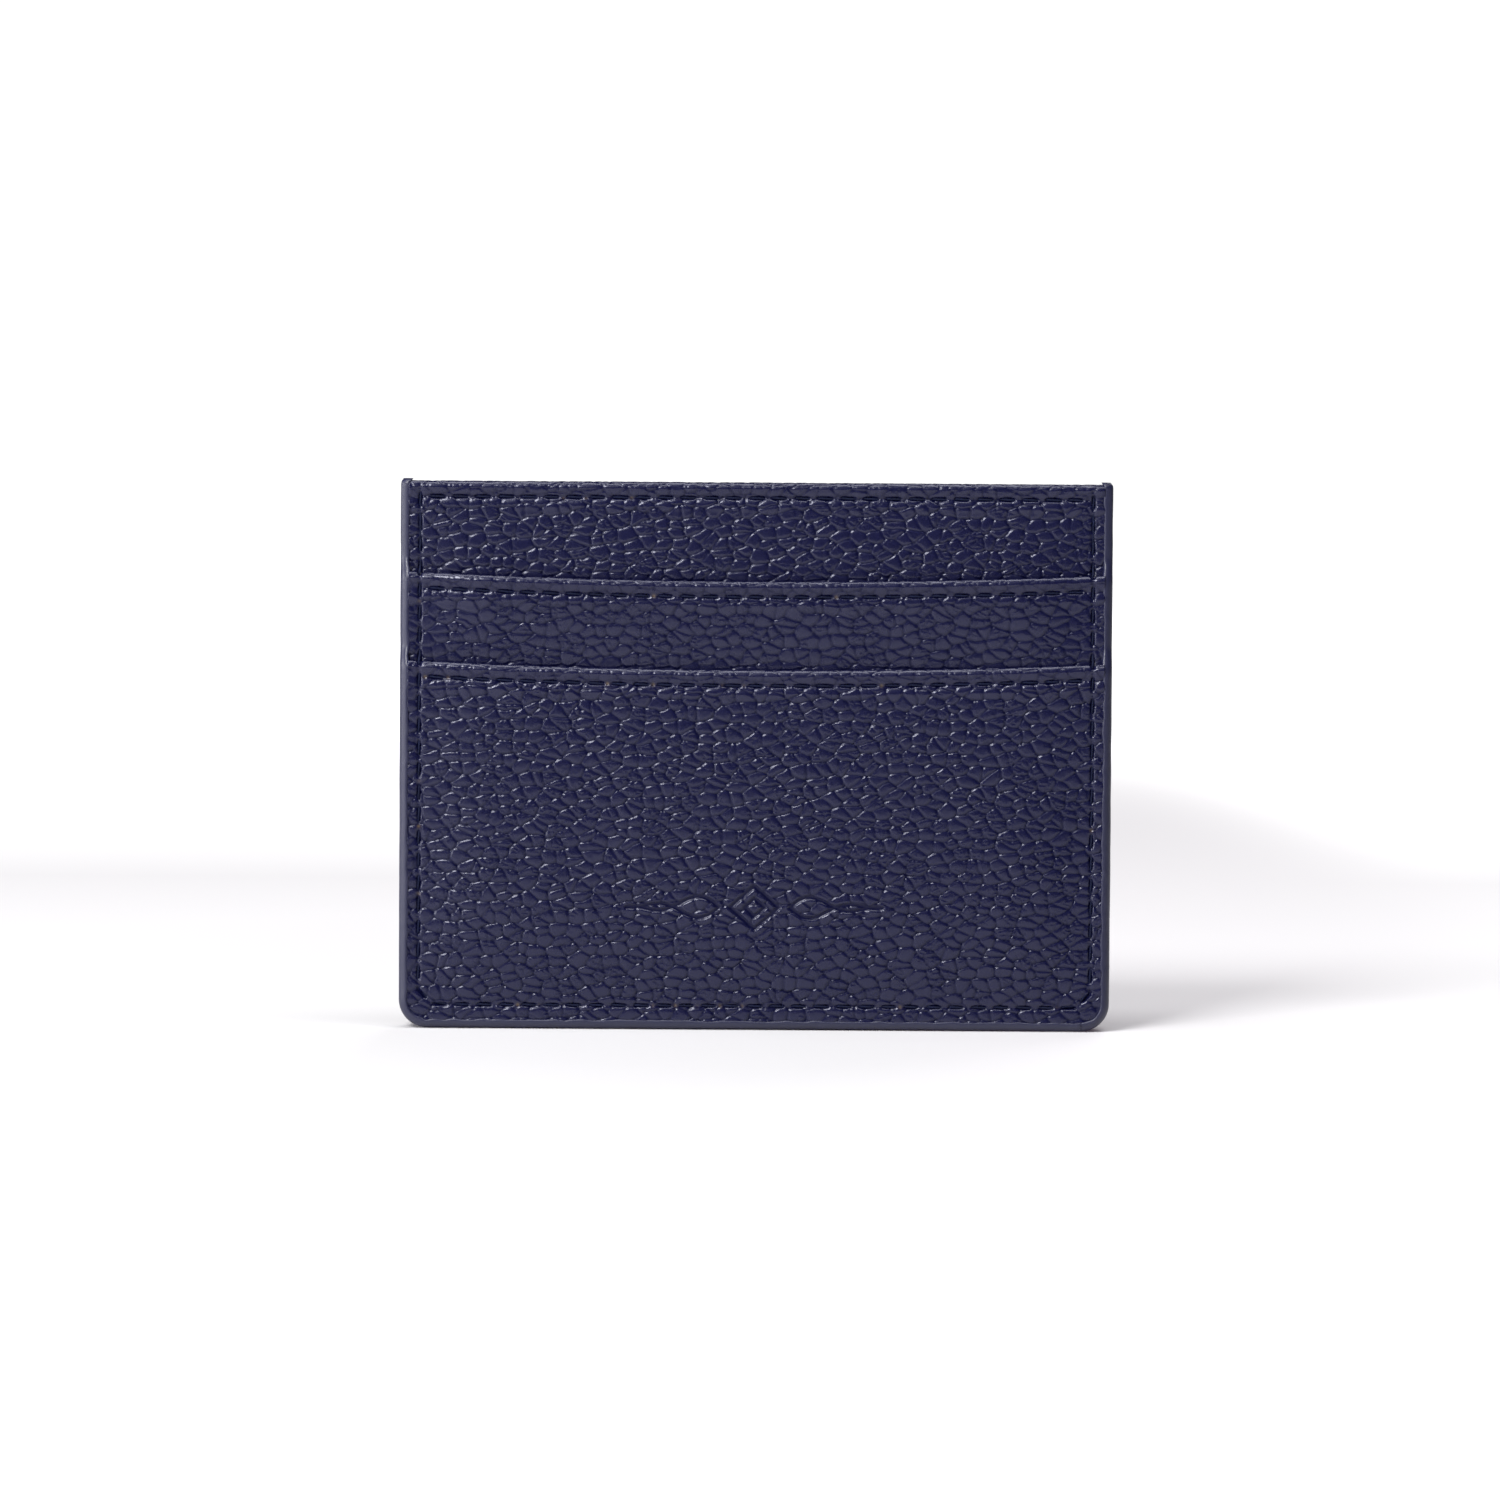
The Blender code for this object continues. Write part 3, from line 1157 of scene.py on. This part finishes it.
            # The pressed line gets a high crease mask, so the finish paints shade in it too.
            lines = lines * (1 - mask) + 0.7 * mask
        # The crease and slit masks mark where the leather's finish paints shade.
        found = {"height": raised, "crease": lines * (0.4 + 0.6 * flat)}
        found |= {"hole": holes, "slit": slits}
        masks = {name: np.zeros(part["x"].shape) for name in found}
        for name, numbers in found.items():
            masks[name][rows] = numbers * shown
        return masks.pop("height"), masks

    def build(self, material: bpy.types.Material) -> bpy.types.Object:
        """Make the ply.

        Args:
            material: The leather's material.

        Returns:
            The piece.
        """
        part = self.section(self.columns())
        height, masks = self.relief(part)
        offset = self.swell.at(part["x"], part["z"])
        y = self.face.value * (part["y"] + offset + part["out"] * height)
        points = np.stack([part["x"], y, part["z"] + part["up"] * height], axis=-1)
        rings = points.transpose(1, 0, 2)
        name, flipped = f"{self.node}_leather", self.face is Face.FRONT
        obj = shell_from(name, rings, self.node, Slot.LEATHER, material, flipped)
        for mask, numbers in masks.items():
            store(obj, mask, numbers.T)
        picked = SoftNoise(self.grain.seed + 9, 3.5 * MM).at(part["x"], part["z"])
        store(obj, "bared", smooth_step(picked, 0.35, 0.6).T)
        return obj


@dataclass
class ClothPly:
    """A lining or pocket cloth: a thin woven sheet that follows its leather.

    Attributes:
        piece: Its name without its side.
        face: The side that it is on.
        swell: How the leather that it is glued to stands away from the flat.
        held_by: The nodes that it is glued or sewn to; nothing is done with them.
        step: Distance between its points.
        ripple: How far it is from flat.
    """

    piece: str
    face: Face
    swell: Swell
    held_by: list[str]
    step: float = 1.0 * MM
    ripple: float = 0.03 * MM

    def build(self, material: bpy.types.Material) -> bpy.types.Object:
        """Args:
            material: The cloth's material.

        Returns:
            The piece.
        """
        node = self.face.node(self.piece)
        low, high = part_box(node)
        mouth = Mouth.of(node)
        x = np.linspace(low.x, high.x, round((high.x - low.x) / self.step) + 1)
        shares = np.linspace(0, 1, round((high.z - low.z) / self.step) + 1)
        z = low.z + shares[None, :] * (mouth.at(x) - low.z)[:, None]
        x = np.broadcast_to(x[:, None], z.shape)
        wave = self.ripple * SoftNoise(91, 7 * MM).at(x, z) + self.swell.at(x, z)
        near, far = sorted((abs(low.y), abs(high.y)))
        sides = []
        for depth in (far, near):
            y = self.face.value * (depth + wave)
            sides.append(np.stack([x, y, z], axis=-1))
        rings = np.concatenate([sides[0], sides[1][:, ::-1]], axis=1)
        name, flipped = f"{node}_weave", self.face is Face.FRONT
        obj = shell_from(name, rings, node, Slot.LINING, material, flipped)
        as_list(self.held_by)
        return obj


# --- Threads ---------------------------------------------------------------------


@dataclass
class StitchRow:
    """The thread of one seam on one face, stitch by stitch.

    Attributes:
        piece: Its name without its side.
        face: The side that it is on.
        seam: The path that it follows.
        surface: Distance from the mid plane to what it lies on, at (x, z).
        radius: Radius of the thread.
        plies: Strands twisted into it.
        twist: Length of one turn of the strands.
        slant: How far a stitch's ends stray to each side of the seam.
        dive: How deep its ends go into their holes.
        rise: How far its middle lies above the leather's smooth face.
        rings: Sections along one stitch.
        sides: Sides of one strand.
    """

    piece: str
    face: Face
    seam: Seam
    surface: Callable[[Array, Array], Array]
    radius: float = 0.17 * MM
    plies: int = 3
    twist: float = 1.05 * MM
    slant: float = 0.10 * MM
    dive: float = 0.62 * MM
    rise: float = -0.27 * MM
    rings: int = 15
    sides: int = 6

    def spans(self) -> Array:
        """The two holes of each stitch, with those stitched over at the ends."""
        holes = self.seam.holes()
        spans = np.stack([holes[:-1], holes[1:]], axis=1)
        if not self.seam.tacked:
            return spans
        half = (spans[:, 1] - spans[:, 0]) / 2
        over = [spans[k] + way * half[k] for k, way in ((0, 1), (1, 1), (-1, -1), (-2, -1))]
        return np.concatenate([spans, over])

    def build(self, material: bpy.types.Material) -> bpy.types.Object:
        """Make the row of stitches.

        Args:
            material: The thread's material.

        Returns:
            The piece.
        """
        spans = self.spans()
        run = spans[:, 1] - spans[:, 0]
        ahead = run / np.hypot(*run.T)[:, None]
        beside = np.stack([-ahead[:, 1], ahead[:, 0]], axis=1)
        t = np.linspace(0.02, 0.98, self.rings)
        stray = self.slant * (1 - 2 * t)
        line = spans[:, None, 0] + t[None, :, None] * run[:, None]
        line = line + stray[None, :, None] * beside[:, None]
        lift = self.rise - self.dive * np.abs(2 * t - 1) ** 3
        depth = self.surface(line[..., 0], line[..., 1]) + lift
        blocks = []
        length = np.hypot(*run.T)[:, None] * t[None, :]
        for strand in range(self.plies):
            turn = 2 * math.pi * (length / self.twist + strand / self.plies)
            orbit = self.radius * 0.48
            side, out = orbit * np.cos(turn), orbit * np.sin(turn)
            for k in range(self.sides):
                angle = 2 * math.pi * k / self.sides
                wide = side + self.radius * 0.52 * math.cos(angle)
                high = out + self.radius * 0.52 * math.sin(angle)
                spot = line + wide[..., None] * beside[:, None]
                y = self.face.value * (depth + high)
                blocks.append(np.stack([spot[..., 0], y, spot[..., 1]], axis=-1))
        points = np.array(blocks).reshape(
            self.plies, self.sides, len(spans), self.rings, 3
        )
        points = points.transpose(2, 0, 3, 1, 4)
        tube = ring_faces(self.rings, self.sides)
        size = self.rings * self.sides
        faces = [tube + k * size for k in range(len(spans) * self.plies)]
        if self.face is Face.BACK:
            faces = [block[:, ::-1] for block in faces]
        node = self.face.node(self.piece)
        name = f"{node}_stitches"
        points = points.reshape(-1, 3)
        return piece_from(name, points, faces, node, Slot.THREAD, material)


# --- Painted edge ----------------------------------------------------------------


@dataclass
class PaintedEdge:
    """The bead of paint round the sides and the bottom, as thick as the plies.

    Attributes:
        levels: Heights at which a mouth ends, each with the half thickness of
            the plies below it, from the lowest up; the last has no limit.
        corner: Radius of the lower corners.
        depth: How far the paint reaches in over the faces.
        shoulder: Radius of its rounding, across the thickness.
        step: Distance between its sections.
        proud: How far it stands out past the plies.
        nodes: The CAD nodes that it stands for.
    """

    levels: list[tuple[float, float]]
    corner: float = 4.0 * MM
    depth: float = 1.2 * MM
    shoulder: float = 1.4 * MM
    step: float = 0.4 * MM
    proud: float = 0.05 * MM
    nodes: tuple[str, ...] = ("edge_paint_left", "edge_paint_bottom", "edge_paint_right")

    def half_at(self, z: Array) -> Array:
        """Half the thickness of the plies at a height."""
        half = np.full(z.shape, self.levels[0][1])
        for (limit, below), (_, above) in zip(self.levels, self.levels[1:]):
            half += (above - below) * smooth_step(z, limit - 1.2 * MM, limit + 2.4 * MM)
        return half

    def path(self) -> tuple[Array, Array, Array, Array]:
        """Points along the outline with their outward directions."""
        low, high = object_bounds()
        side = high.x - self.corner
        up = np.arange(self.corner, high.z, self.step)
        up = np.append(up, high.z)
        turn = np.linspace(0, math.pi / 2, round(self.corner * math.pi / 2 / self.step))
        across = np.arange(-side + self.step, side, self.step)
        x = [np.full(len(up), low.x), -side - self.corner * np.cos(turn[1:])]
        z = [up[::-1], self.corner * (1 - np.sin(turn[1:]))]
        out_x = [np.full(len(up), -1.0), -np.cos(turn[1:])]
        out_z = [np.zeros(len(up)), -np.sin(turn[1:])]
        left = [np.concatenate(part) for part in (x, z, out_x, out_z)]
        flat = [across, np.zeros(len(across)), np.zeros(len(across)), -np.ones(len(across))]
        right = [-left[0][::-1], left[1][::-1], -left[2][::-1], left[3][::-1]]
        return tuple(np.concatenate(part) for part in zip(left, flat, right))

    def section(self, half: float, ease: float) -> Array:
        """One section as rows of (outward, across), closed behind the plies.

        Args:
            half: Half the thickness of the plies.
            ease: 1 along the bead, and less where its end rounds off.

        Returns:
            The section's points.
        """
        shoulder = min(self.shoulder, 0.8 * half)
        turn = np.linspace(0, math.pi / 2, 9)
        out = self.depth * (np.sin(turn) - 1)
        across = half + self.proud - shoulder * (1 - np.cos(turn))
        rim = np.array([[-self.depth - 0.15 * MM, half - 0.12 * MM]])
        front = np.concatenate([rim, np.stack([out, across], axis=1)])
        flat = np.linspace(across[-1], -across[-1], 6)[1:-1]
        middle = np.stack([np.zeros(4), flat], axis=1)
        back = front[::-1] * (1, -1)
        ring = np.concatenate([front, middle, back])
        return ring * (1.0, ease)

    def build(self, material: bpy.types.Material) -> bpy.types.Object:
        """Make the bead.

        Args:
            material: The paint's material.

        Returns:
            The piece.
        """
        x, z, out_x, out_z = self.path()
        along = np.concatenate([[0], np.cumsum(np.hypot(np.diff(x), np.diff(z)))])
        halves = self.half_at(z)
        rings = []
        for k in range(len(x)):
            end = min(along[k], along[-1] - along[k])
            ease = math.sqrt(min(1.0, 0.35 + end / (0.5 * MM)))
            ring = self.section(halves[k], ease)
            spot = np.full(len(ring), along[k])
            wave = SoftNoise(41, 3.5 * MM).at(spot, ring[:, 1])
            creep = SoftNoise(43, 1.3 * MM).at(spot, np.sign(ring[:, 1]) * 9 * MM)
            rim = np.clip(-ring[:, 0] / self.depth, 0, 1) ** 2
            outward = ring[:, 0] - 0.03 * MM * (1 + wave) * (1 - rim)
            outward = outward + 0.12 * MM * creep * rim
            outward = outward - 0.35 * MM * max(0.0, 1 - end / (0.7 * MM)) ** 2
            ring_x = x[k] + out_x[k] * outward
            ring_z = z[k] + out_z[k] * outward
            rings.append(np.stack([ring_x, ring[:, 1], ring_z], axis=1))
        rings = np.array(rings)
        return shell_from("painted_edge", rings, self.nodes, Slot.EDGE_PAINT, material)


# --- Sub-assemblies --------------------------------------------------------------


@dataclass(frozen=True)
class Wardrobe:
    """The materials that the pieces are dressed in.

    Attributes:
        leather: For the plies with grain.
        lining: For the cloths.
        thread: For the stitches.
        paint: For the edge.
    """

    leather: bpy.types.Material
    lining: bpy.types.Material
    thread: bpy.types.Material
    paint: bpy.types.Material

    @classmethod
    def stocked(cls) -> Wardrobe:
        """A wardrobe with the holder's own finishes."""
        return cls(
            LeatherFinish().material(),
            LiningFinish().material(),
            ThreadFinish().material(),
            EdgePaintFinish().material(),
        )


@dataclass
class HolderSide:
    """One side of the holder: body panel, upper pocket and lower pocket.

    Attributes:
        face: Which side it is.
        wardrobe: The materials that its pieces are dressed in.
        thread_radius: Radius of the frame's plain threads.
        corner_cut: How far the edge seam cuts its lower corners.
        plies: Its leather plies by name, once they are cut.
    """

    face: Face
    wardrobe: Wardrobe
    thread_radius: float = 0.15 * MM
    corner_cut: float = 2.0 * MM
    plies: dict[str, LeatherPly] = field(default_factory=dict)

    def edge_seam(self) -> Seam:
        """The seam round the sides and the bottom."""
        low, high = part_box(self.face.node("edge_seam_thread"))
        side = high.x - self.thread_radius
        floor, top = low.z + self.thread_radius, high.z
        cut = self.corner_cut
        return Seam(
            (
                (-side, top),
                (-side, floor + cut),
                (cut - side, floor),
                (side - cut, floor),
                (side, floor + cut),
                (side, top),
            ),
            tacked=True,
        )

    def hem_seam(self, piece: str) -> Seam:
        """The row of stitches along the mouth of a ply.

        Args:
            piece: The ply's name without its side.

        Returns:
            The seam.
        """
        low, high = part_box(self.face.node(HEMS[piece]))
        mouth = Mouth.of(self.face.node(piece))
        drop = mouth.at(0.0) - low.z - self.thread_radius
        spots = np.linspace(low.x, high.x, 13)
        return Seam(tuple((float(x), float(mouth.at(x) - drop)) for x in spots))

    def swell(self, puff: float, lean: float, lean_from: float, lean_to: float) -> Swell:
        """How a ply of this side stands away from the flat."""
        low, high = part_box(self.face.node("edge_seam_thread"))
        side = high.x - self.thread_radius
        return Swell(side, low.z, puff, lean, lean_from, lean_to)

    def top_face(self, x: Array, z: Array) -> Array:
        """Distance from the mid plane to the outermost face at points."""
        body, *pockets = self.plies.values()
        found = body.face_at(x, z)
        for ply in pockets:
            rise = z - ply.mouth.at(x)
            share = 1 - smooth_step(rise, 0.15 * MM, 1.0 * MM)
            found = found + share * (ply.face_at(x, z) - found)
        return found

    def cut_plies(self) -> None:
        """Lay out the three leather plies of this side."""
        edge = self.edge_seam()
        seed = 11 if self.face is Face.FRONT else 511
        lower, upper, top = (Mouth.of(self.face.node(piece)).height for piece in HEMS)
        mark = Ornament((0.0, 17.4 * MM)) if self.face is Face.FRONT else None
        layout = (
            ("body_panel", (0.40, -0.50, upper, top), upper, None),
            ("upper_pocket", (0.10, 0.90, lower, upper), lower, None),
            ("lower_pocket", (0.85, -0.52, lower / 3, lower), 0, mark),
        )
        for k, (piece, shape, shown_from, ornament) in enumerate(layout):
            puff, lean, lean_from, lean_to = shape
            self.plies[piece] = LeatherPly(
                piece,
                self.face,
                PebbleGrain(seed + 40 * k, share=0.72 if k == 1 else 1.0),
                self.swell(puff * MM, lean * MM, lean_from, lean_to),
                [edge],
                self.hem_seam(piece),
                shown_from - 1.5 * MM if shown_from else 0.0,
                ornament,
            )

    def build_plies(self) -> None:
        """Make the leather plies."""
        for ply in self.plies.values():
            ply.build(self.wardrobe.leather)

    def build_cloths(self) -> None:
        """Make the linings and the pocket cloth."""
        pairs = (
            ("body_lining", "body_panel"),
            ("upper_pocket_cloth", "upper_pocket"),
            ("lower_pocket_lining", "lower_pocket"),
        )
        for cloth, ply in pairs:
            swell = self.plies[ply].swell
            made = ClothPly(cloth, self.face, swell, [self.face.node(ply)])
            made.build(self.wardrobe.lining)

    def build_threads(self) -> None:
        """Make the hem rows, the hidden slot seam and the edge seam."""
        for piece, ply in self.plies.items():
            row = StitchRow(HEMS[piece], self.face, ply.hem, ply.face_at)
            row.build(self.wardrobe.thread)
        self.build_slot_seam()
        edge = StitchRow("edge_seam_thread", self.face, self.edge_seam(), self.top_face)
        edge.build(self.wardrobe.thread)

    def build_slot_seam(self) -> None:
        """Make the hidden seam that closes the upper slot."""
        low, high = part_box(self.face.node("slot_seam_thread"))
        depth = (abs(low.y) + abs(high.y)) / 2
        z = (low.z + high.z) / 2
        swell = self.plies["upper_pocket"].swell
        row = StitchRow(
            "slot_seam_thread",
            self.face,
            Seam(((low.x, z), (high.x, z))),
            lambda x, up: depth + swell.at(x, up),
        )
        row.build(self.wardrobe.thread)

    def build(self) -> None:
        """Make every piece of this side."""
        self.cut_plies()
        self.build_plies()
        self.build_cloths()
        self.build_threads()


@dataclass
class CardHolder:
    """The whole holder: two sides and the painted edge that joins them.

    Attributes:
        wardrobe: The materials that its pieces are dressed in.
    """

    wardrobe: Wardrobe

    def edge(self) -> PaintedEdge:
        """The painted edge, with its steps at the pocket mouths."""
        levels = []
        for piece in HEMS:
            low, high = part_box(Face.FRONT.node(piece))
            levels.append((high.z, max(abs(low.y), abs(high.y))))
        return PaintedEdge(levels)

    def build(self) -> None:
        """Make every piece of the holder."""
        for face in Face:
            HolderSide(face, self.wardrobe).build()
        self.edge().build(self.wardrobe.paint)


# --- Studio ----------------------------------------------------------------------


@dataclass(frozen=True)
class Softbox:
    """A soft rectangular light.

    Attributes:
        name: Its name.
        spot: Its place.
        aim: The point that it faces.
        size: Its width and height.
        power: Its power in watts.
    """

    name: str
    spot: Spot
    aim: Spot
    size: tuple[float, float]
    power: float

    def build(self) -> None:
        """Hang the light."""
        data = bpy.data.lights.new(self.name, "AREA")
        data.shape = "RECTANGLE"
        data.size, data.size_y = self.size
        data.energy = self.power
        obj = bpy.data.objects.new(self.name, data)
        obj.location = self.spot
        towards = Vector(self.aim) - Vector(self.spot)
        obj.rotation_euler = towards.to_track_quat("-Z", "Y").to_euler()
        bpy.context.scene.collection.objects.link(obj)


@dataclass
class Studio:
    """A white table in a plain white room, with the camera low in front.

    Attributes:
        lens: The camera's focal length in millimetres.
        frame_width: Width that the camera takes in at the holder.
        rise: The camera's angle above the table, in degrees.
        tilt: The camera's roll, in degrees.
        shift: How far the camera aims from the holder's middle, across and up.
        room: Colour of the room.
        ambient: Strength of the light that the room casts.
        backdrop: Strength of the room as the camera sees it.
        softboxes: The lights.
    """

    lens: float = 180.0
    frame_width: float = 0.2110
    rise: float = 4.0
    tilt: float = 0.37
    shift: tuple[float, float] = (-0.77 * MM, 0.67 * MM)
    room: Colour = (1.0, 1.0, 1.0, 1.0)
    ambient: float = 0.06
    backdrop: float = 1.1
    softboxes: tuple[Softbox, ...] = (
        Softbox("key", (-0.40, -0.66, 0.68), (0.0, 0.0, 0.04), (0.36, 0.36), 11.0),
        Softbox("top", (0.0, -0.20, 0.95), (0.0, 0.0, 0.04), (1.0, 0.25), 6.0),
        Softbox("left", (-0.9, -0.05, 0.22), (0.0, 0.0, 0.04), (0.5, 0.35), 4.5),
        Softbox("low", (-0.85, -0.62, 0.17), (0.0, 0.0, 0.04), (0.3, 0.2), 2.6),
        Softbox("back", (0.35, 0.90, 0.60), (0.0, 0.0, 0.04), (0.7, 0.5), 3.5),
    )

    def build_floor(self) -> None:
        """Lay the white table."""
        mesh = bpy.data.meshes.new("floor")
        corners = [(-0.8, -0.50), (0.8, -0.50), (0.8, 1.6), (-0.8, 1.6)]
        mesh.from_pydata([(x, y, 0.0) for x, y in corners], [], [(0, 1, 2, 3)])
        obj = bpy.data.objects.new("floor", mesh)
        mesh.materials.append(FloorFinish().material())
        bpy.context.scene.collection.objects.link(obj)
        obj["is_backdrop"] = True

    def build_room(self) -> None:
        """Fill the room with plain light: white to look at, and dim in what it casts."""
        world = bpy.data.worlds.new("room")
        world.use_nodes = True
        world.node_tree.nodes.clear()
        graph = Graph(world.node_tree)
        cast, seen = (
            graph.node("ShaderNodeBackground", {}, {"Color": self.room, "Strength": light})
            for light in (self.ambient, self.backdrop)
        )
        path = graph.node("ShaderNodeLightPath", {}, {})
        ways = {0: path.outputs["Is Camera Ray"], 1: cast.outputs[0], 2: seen.outputs[0]}
        mix = graph.node("ShaderNodeMixShader", {}, ways)
        graph.node("ShaderNodeOutputWorld", {}, {"Surface": mix.outputs[0]})
        bpy.context.scene.world = world

    def build_camera(self) -> None:
        """Stand the camera in front of the holder."""
        low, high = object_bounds()
        middle = (Vector(low) + Vector(high)) / 2
        data = bpy.data.cameras.new("camera")
        data.lens = self.lens
        data.clip_end = 20.0
        away = self.frame_width * self.lens / data.sensor_width
        rise = math.radians(self.rise)
        aim = middle + Vector((self.shift[0], 0.0, self.shift[1]))
        obj = bpy.data.objects.new("camera", data)
        obj.location = aim + away * Vector((0.0, -math.cos(rise), math.sin(rise)))
        look = (aim - obj.location).to_track_quat("-Z", "Y").to_matrix()
        roll = Matrix.Rotation(math.radians(self.tilt), 3, "Z")
        obj.rotation_euler = (look @ roll).to_euler()
        bpy.context.scene.collection.objects.link(obj)
        bpy.context.scene.camera = obj

    def build(self) -> None:
        """Set up the whole studio."""
        bpy.context.scene.view_settings.view_transform = "Standard"
        self.build_camera()
        self.build_floor()
        self.build_room()
        for softbox in self.softboxes:
            softbox.build()


def main() -> None:
    """Build the studio and the holder."""
    logging.basicConfig(level=logging.INFO, format="%(name)s: %(message)s")
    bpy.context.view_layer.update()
    Studio().build()
    CardHolder(Wardrobe.stocked()).build()


if __name__ == "__main__":
    main()
